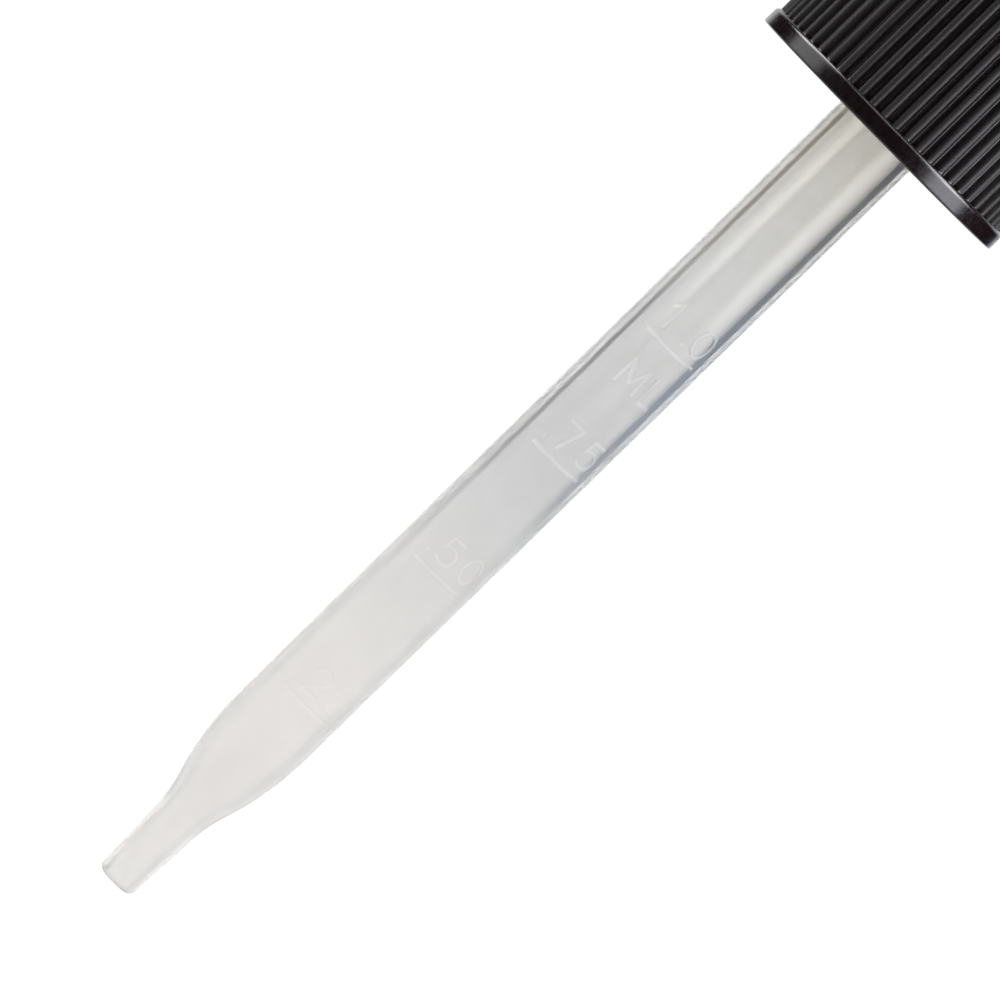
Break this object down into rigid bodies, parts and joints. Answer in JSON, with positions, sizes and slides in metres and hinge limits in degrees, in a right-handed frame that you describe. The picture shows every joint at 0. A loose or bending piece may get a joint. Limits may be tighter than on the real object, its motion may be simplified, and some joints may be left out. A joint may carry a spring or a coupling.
{
  "type": "medicine dropper",
  "caption": "Dropper assembly: ribbed black screw cap with a rubber squeeze bulb and a graduated translucent pipette that tapers to a straight tip.",
  "frame": {"origin": "centre of the sealing plane, where the underside of the pipette's flange rests on the rim of the bottle", "axes": "+Z along the dropper's axis from the tip towards the bulb, -Y the front, where the graduation is read, X the direction in which the bulb is pinched"},
  "size_m": [0.0228, 0.0228, 0.1166],
  "materials": {
    "cap_plastic": "satin black moulded polypropylene, glossier on the band round the foot",
    "bulb_rubber": "matte black rubber",
    "pipette_plastic": "smooth translucent natural polyethylene"
  },
  "bodies": {
    "cap": {"screw_cap": "cap_plastic"},
    "dropper": {"bulb": "bulb_rubber", "pipette": "pipette_plastic"},
    "squeeze_left": {"bulb_wall_left": "bulb_rubber"},
    "squeeze_right": {"bulb_wall_right": "bulb_rubber"}
  },
  "joints": [
    {"name": "cap_spin", "type": "hinge", "parent": "cap", "child": "dropper", "pos_m": [0, 0, 0], "axis": [0, 0, 1], "continuous": true},
    {"name": "bulb_squeeze_left", "type": "slide", "parent": "dropper", "child": "squeeze_left", "axis": [1, 0, 0], "range_m": [0, 0.003], "stiffness_N_per_m": 1500},
    {"name": "bulb_squeeze_right", "type": "slide", "parent": "dropper", "child": "squeeze_right", "axis": [-1, 0, 0], "range_m": [0, 0.003], "stiffness_N_per_m": 1500}
  ],
  "couplings": [
    {"joint": "bulb_squeeze_right", "follows": "bulb_squeeze_left", "ratio": 1}
  ]
}
